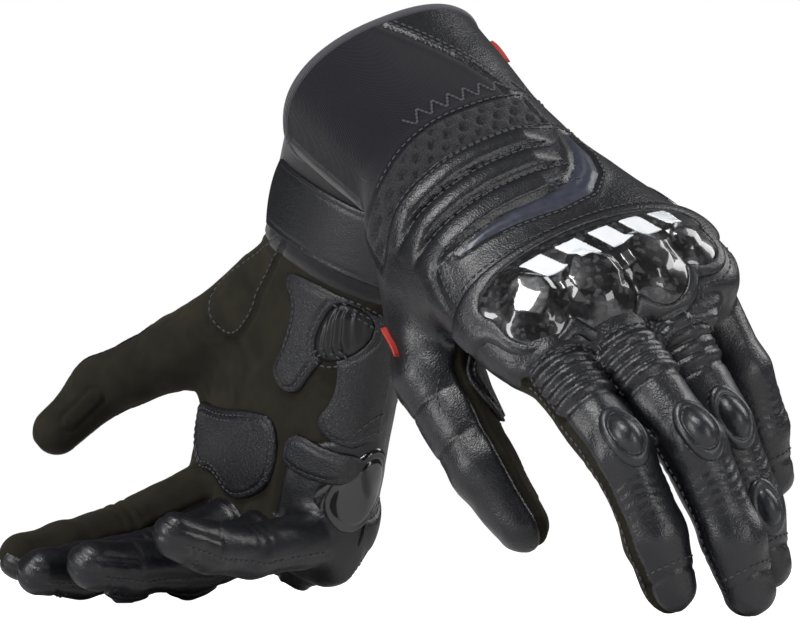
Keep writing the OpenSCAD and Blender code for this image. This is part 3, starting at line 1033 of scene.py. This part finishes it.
class Look:
    """A material whose nodes work in the millimetres of the glove before it bends."""

    def __init__(self, name, color, roughness, **sockets):
        self.material = bpy.data.materials.new(name)
        self.material.use_nodes = True
        self.material.diffuse_color = (*color, 1)
        self.nodes = self.material.node_tree.nodes
        self.links = self.material.node_tree.links
        self.inputs = self.nodes["Principled BSDF"].inputs
        self.inputs["Base Color"].default_value = (*color, 1)
        self.inputs["Roughness"].default_value = roughness
        for key, value in sockets.items():
            self.inputs[key.replace("_", " ")].default_value = value
        rest = self.nodes.new("ShaderNodeAttribute")
        rest.attribute_name = "rest_mm"
        self.at = rest.outputs["Vector"]

    def texture(self, kind, at=None, **values):
        n = self.nodes.new("ShaderNodeTex" + kind)
        self.links.new(self.at if at is None else at, n.inputs["Vector"])
        for key, value in values.items():
            if key in ("feature", "wave_type", "bands_direction"):
                setattr(n, key, value)
            else:
                n.inputs[key].default_value = value
        return n.outputs

    def math(self, operation, *values):
        return math_node(self.nodes, self.links, operation, *values)

    def colors(self, value, stops):
        """The base colour follows a value."""
        n = self.nodes.new("ShaderNodeValToRGB")
        self.links.new(value, n.inputs[0])
        e = n.color_ramp.elements
        while len(e) < len(stops):
            e.new(0.5)
        for element, (at, color) in zip(e, stops):
            element.position = at
            element.color = (*color, 1)
        self.links.new(n.outputs["Color"], self.inputs["Base Color"])

    def bump(self, value, strength, depth):
        n = self.nodes.new("ShaderNodeBump")
        n.inputs["Strength"].default_value = strength
        n.inputs["Distance"].default_value = depth * MM
        self.links.new(value, n.inputs["Height"])
        self.links.new(n.outputs["Normal"], self.inputs["Normal"])


def leather(name, dark, light, roughness, grain=1.0, crease_scale=0.32, strength=0.3):
    look = Look(name, dark, roughness, Specular_IOR_Level=0.5, Coat_Weight=0.12, Coat_Roughness=0.3)
    pebble = look.texture("Voronoi", Scale=1.5, Randomness=1.0, feature="SMOOTH_F1", Smoothness=0.35)
    crease = look.texture("Noise", Scale=crease_scale, Detail=5.0, Roughness=0.62, Distortion=1.1)
    fine = look.texture("Noise", Scale=2.4, Detail=3.0)
    mixed = look.math("MULTIPLY_ADD", pebble["Distance"], -0.55 * grain, crease[0])
    mixed = look.math("MULTIPLY_ADD", fine[0], 0.22, mixed)
    look.bump(mixed, strength, 0.6)
    patch = look.texture("Noise", Scale=0.06, Detail=4.0)
    tone = look.math("MULTIPLY_ADD", crease[0], 0.6, look.math("MULTIPLY", patch[0], 0.5))
    look.colors(tone, [(0.35, dark), (0.75, light)])
    worn = look.nodes.new("ShaderNodeMapRange")
    look.links.new(fine[0], worn.inputs["Value"])
    worn.inputs["From Min"].default_value = 0.25
    worn.inputs["From Max"].default_value = 0.75
    worn.inputs["To Min"].default_value = roughness - 0.08
    worn.inputs["To Max"].default_value = roughness + 0.12
    look.links.new(worn.outputs[0], look.inputs["Roughness"])
    return look.material


def suede():
    dark, light = (0.0105, 0.0095, 0.0068), (0.023, 0.0205, 0.0145)
    look = Look("suede", dark, 0.95, Specular_IOR_Level=0.15, Sheen_Weight=0.22, Sheen_Roughness=0.45,
                Sheen_Tint=(0.35, 0.31, 0.22, 1))
    nap = look.texture("Noise", Scale=3.2, Detail=4.0, Roughness=0.7)
    brushed = look.texture("Noise", Scale=0.09, Detail=5.0, Distortion=0.6)
    tone = look.math("MULTIPLY_ADD", nap[0], 0.45, look.math("MULTIPLY", brushed[0], 0.6))
    look.colors(tone, [(0.36, dark), (0.68, light)])
    look.bump(nap[0], 0.35, 0.35)
    return look.material


def knit():
    dark, light = (0.0025, 0.0025, 0.0045), (0.010, 0.0098, 0.0165)
    look = Look("twill_knit", dark, 0.85, Specular_IOR_Level=0.2, Sheen_Weight=0.12, Sheen_Roughness=0.5)
    twill = look.texture("Wave", Scale=0.95, Distortion=0.8, Detail=2.0, wave_type="BANDS",
                         bands_direction="DIAGONAL")
    cross = look.texture("Wave", Scale=0.8, Distortion=0.4, wave_type="BANDS", bands_direction="X")
    weave = look.math("MULTIPLY", twill[1], look.math("MULTIPLY_ADD", cross[1], 0.5, 0.5))
    look.colors(weave, [(0.1, dark), (0.85, light)])
    look.bump(weave, 0.5, 0.3)
    return look.material


def open_mesh():
    dark, light = (0.005, 0.005, 0.0065), (0.021, 0.021, 0.027)
    look = Look("open_mesh", dark, 0.7, Specular_IOR_Level=0.35, Sheen_Weight=0.1)
    cells = look.texture("Voronoi", Scale=1.3, Randomness=0.7)
    # Painted shade and light: the colour is lighter on the raised cell tops and darker in the low edges
    # between them, following the bump
    look.colors(cells["Distance"], [(0.15, light), (0.6, dark)])
    look.bump(look.math("MULTIPLY", cells["Distance"], -1.0), 0.7, 0.5)
    return look.material


def carbon():
    dark, middle, light = (0.003, 0.003, 0.0035), (0.015, 0.015, 0.017), (0.055, 0.056, 0.06)
    look = Look("forged_carbon", dark, 0.32, Coat_Weight=1.0, Coat_Roughness=0.03, Metallic=0.25)
    warp = look.texture("Noise", Scale=0.25, Detail=2.0)
    moved = look.nodes.new("ShaderNodeVectorMath")
    moved.operation = "MULTIPLY_ADD"
    look.links.new(warp["Color"], moved.inputs[0])
    moved.inputs[1].default_value = (2.5, 2.5, 2.5)
    look.links.new(look.at, moved.inputs[2])
    flakes = look.texture("Voronoi", moved.outputs[0], Scale=0.62, Randomness=1.0)
    grey = look.nodes.new("ShaderNodeSeparateColor")
    look.links.new(flakes["Color"], grey.inputs[0])
    look.colors(grey.outputs[0], [(0.3, dark), (0.72, middle), (0.97, light)])
    return look.material


def plain(name, color, roughness, scale=2.0, depth=0.12, spread=0.25, **sockets):
    look = Look(name, color, roughness, **sockets)
    grain = look.texture("Noise", Scale=scale, Detail=3.0)
    low = tuple(c * (1 - spread) for c in color)
    high = tuple(min(c * (1 + spread), 1) for c in color)
    look.colors(grain[0], [(0.3, low), (0.7, high)])
    look.bump(grain[0], 0.4, depth)
    return look.material


def tape():
    look = Look("binding_tape", (0.04, 0.04, 0.05), 0.75, Sheen_Weight=0.2)
    rib = look.texture("Wave", Scale=0.7, bands_direction="X")
    look.colors(rib[1], [(0.1, (0.02, 0.02, 0.026)), (0.8, (0.06, 0.06, 0.072))])
    look.bump(rib[1], 0.4, 0.25)
    return look.material


MATERIALS = {
    "leather": leather("grained_leather", (0.0033, 0.0035, 0.0048), (0.0082, 0.0088, 0.012), 0.36),
    "creased": leather("creased_leather", (0.0035, 0.0037, 0.005), (0.0095, 0.010, 0.013), 0.35,
                       grain=0.6, crease_scale=0.75, strength=0.75),
    "suede": suede(),
    "knit": knit(),
    "mesh": open_mesh(),
    "inlay": plain("smooth_inlay", (0.026, 0.030, 0.046), 0.42, 0.5, 0.1, Coat_Weight=0.1),
    "loop": plain("loop_lining", (0.010, 0.010, 0.012), 0.95, 1.8, 0.5, Sheen_Weight=0.3),
    "pad": leather("pad_leather", (0.008, 0.0086, 0.0115), (0.014, 0.015, 0.02), 0.34, 0.35),
    "carbon": carbon(),
    "gloss": plain("gloss_moulding", (0.006, 0.006, 0.007), 0.16, 1.0, 0.02,
                   Coat_Weight=0.8, Coat_Roughness=0.05),
    "ribbed": plain("ribbed_moulding", (0.008, 0.008, 0.0095), 0.38, 1.5, 0.05),
    "thread": plain("thread", (0.045, 0.045, 0.054), 0.7, 4.0, 0.1),
    "binding": tape(),
    "bars": plain("pale_bars", (0.78, 0.8, 0.83), 0.3, 0.4, 0.01, 0.03,
                  Coat_Weight=1.0, Coat_Roughness=0.04),
    "tag": plain("red_tag", (0.42, 0.03, 0.022), 0.7, 3.0, 0.2),
}


def tag(glove, y0, y1, x0, z0, name):
    """A small folded woven label that peeks out of the side seam."""
    rows, cols = 9, 7
    across = [np.linspace(0, 1, rows), np.linspace(0, 1, cols)]
    u, v = [g.ravel() for g in np.meshgrid(*across, indexing="ij")]
    p = np.stack([np.full(len(u), x0), y0 + (y1 - y0) * u, z0 + 1.5 * np.sin(math.pi * u)], 1)
    base = project(glove.whole, p, steps=5)
    n = unit(gradient(glove.whole, base))
    p = base + n * (-1.2 + 3.4 * v[:, None]) + np.array([0, 1, 0]) * (0.5 * v[:, None])
    a = (np.arange(rows - 1)[:, None] * cols + np.arange(cols - 1)).ravel()
    obj = make(glove, name, p, np.stack([a, a + 1, a + cols + 1, a + cols], 1), MATERIALS["tag"])
    obj.modifiers.new("thickness", "SOLIDIFY").thickness = 0.5 * MM
    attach(obj, f"{glove.side}_hand")


def hard_pieces(glove):
    """Name, shape, corners of its box, material, slot, cell size and the CAD piece it stands for."""
    heel = patch_shape(glove, HEEL, WINDOW_FIELD)
    finger_pad = patch_shape(glove, FINGER_PAD, thick=2.2)
    grip = patch_shape(glove, GRIP_PAD)
    return [
        ("guard_shell", guard_shape, [-50, 46, -2], [48, 104, 30], "carbon", "guard", 0.6,
         "knuckle_guard"),
        ("guard_bezel", bezel_shape, [-54, 42, -2], [52, 107, 28], "leather", "leather", 0.6,
         "knuckle_bezel"),
        ("guard_bars", bars_shape, [-44, 60, 0], [42, 80, 30], "bars", "guard", 0.45, None),
        ("slider_shell", slider_shape, [-58, 32, -16], [-24, 74, 16], "gloss", "slider", 0.6,
         "ulnar_slider"),
        ("heel_patch", heel, [-47, -15, -34], [8, 46, -1], "creased", "leather", 0.7, "palm_patches"),
        ("finger_pad_patch", finger_pad, [-47, 38, -30], [-11, 62, -1], "creased", "leather", 0.7, None),
        ("grip_patch", grip, [-18, 39, -32], [46, 88, -1], "creased", "leather", 0.7, None),
        ("heel_insert_ribs", insert_shape, [-38, -12, -34], [-12, 20, -1], "ribbed", "ribbed", 0.45,
         "heel_insert"),
        ("strap_leather", strap_shape, [-46, -48, -36], [28, -15, 0], "leather", "leather", 0.7,
         "wrist_strap"),
    ]


def build_glove(side):
    glove = Glove(side)
    skin_pieces(glove, MATERIALS)
    lining(glove, MATERIALS["loop"])
    binding(glove, MATERIALS["binding"])
    for name, shape, low, high, look, slot, cell, node in hard_pieces(glove):
        body = f"{side}_strap" if name == "strap_leather" else f"{side}_hand"
        nodes = [f"{side}_{node}"] if node else []
        hard(glove, f"{side}_{name}", shape, low, high, MATERIALS[look], slot, body, cell, nodes)
    studs = [stud(glove, entry, MATERIALS["pad"]) for entry in stud_frames(glove)]
    stitch_glove(glove, MATERIALS["thread"], studs)
    tag(glove, -46, -34, -37, 6, f"{side}_cuff_tag")
    if side == "left":
        tag(glove, 30, 46, 54, -20, f"{side}_side_tag")


AMBIENT = 0.08
LIGHT_TARGET = (0, 0, 0.1)
# Name, place, size and power
LIGHTS = [
    ("key", (-0.4, -0.7, 1.2), (0.5, 0.35), 12.5),
    ("rim", (0.9, 0.3, 0.9), (0.5, 0.9), 8),
    ("fill", (0.9, -1.0, 0.35), (0.35, 0.6), 4.5),
    ("left", (-1.1, -0.75, 0.35), (0.35, 0.7), 9),
]
FLOOR_REACH = 6.0
FLOOR_Z = -0.0005
CAMERA_AT = (0.0048, -1.4231, 0.0366)
CAMERA_TO = (0.0076, -0.1374, 0.0901)
CAMERA_LENS = 190.3


def light(name, at, size, power):
    data = bpy.data.lights.new(name, "AREA")
    data.shape = "RECTANGLE"
    data.size, data.size_y = size
    data.energy = power
    obj = bpy.data.objects.new(name, data)
    obj.location = at
    aim(obj, LIGHT_TARGET)
    bpy.context.scene.collection.objects.link(obj)


def aim(obj, target):
    way = Vector(target) - Vector(obj.location)
    obj.rotation_euler = way.to_track_quat("-Z", "Y").to_euler()


def white_world(scene):
    """White behind the gloves, and only a little light from it."""
    world = bpy.data.worlds.new("studio")
    world.use_nodes = True
    nodes, links = world.node_tree.nodes, world.node_tree.links
    background = nodes["Background"]
    background.inputs["Color"].default_value = (1, 1, 1, 1)
    seen = nodes.new("ShaderNodeLightPath")
    glow = math_node(nodes, links, "MULTIPLY_ADD", seen.outputs["Is Camera Ray"], 1.0 - AMBIENT, AMBIENT)
    links.new(glow, background.inputs["Strength"])
    scene.world = world


def white_floor(scene):
    mesh = bpy.data.meshes.new("floor")
    corners = [(-1, -1), (1, -1), (1, 1), (-1, 1)]
    mesh.from_pydata([(x * FLOOR_REACH, y * FLOOR_REACH, FLOOR_Z) for x, y in corners], [], [(0, 1, 2, 3)])
    material = bpy.data.materials.new("white_floor")
    material.use_nodes = True
    nodes = material.node_tree.nodes
    inputs = nodes["Principled BSDF"].inputs
    inputs["Base Color"].default_value = (0.8, 0.8, 0.8, 1)
    inputs["Roughness"].default_value = 0.9
    inputs["Emission Color"].default_value = (1, 1, 1, 1)
    seen = nodes.new("ShaderNodeLightPath")
    material.node_tree.links.new(seen.outputs["Is Camera Ray"], inputs["Emission Strength"])
    mesh.materials.append(material)
    floor = bpy.data.objects.new("floor", mesh)
    scene.collection.objects.link(floor)


def studio():
    scene = bpy.context.scene
    white_world(scene)
    white_floor(scene)
    for entry in LIGHTS:
        light(*entry)
    scene.view_settings.view_transform = "Standard"
    data = bpy.data.cameras.new("camera")
    data.lens = CAMERA_LENS
    data.sensor_width = 36
    data.clip_start = 0.05
    camera = bpy.data.objects.new("camera", data)
    camera.location = CAMERA_AT
    aim(camera, CAMERA_TO)
    scene.collection.objects.link(camera)
    scene.camera = camera


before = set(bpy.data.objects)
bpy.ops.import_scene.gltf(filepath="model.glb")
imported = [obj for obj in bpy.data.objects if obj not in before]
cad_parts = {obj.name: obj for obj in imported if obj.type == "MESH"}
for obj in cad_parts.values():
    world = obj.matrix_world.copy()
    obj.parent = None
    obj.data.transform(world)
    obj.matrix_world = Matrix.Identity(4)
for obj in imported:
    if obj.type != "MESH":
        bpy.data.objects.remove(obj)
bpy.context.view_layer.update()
for which in SIDES:
    build_glove(which)
studio()
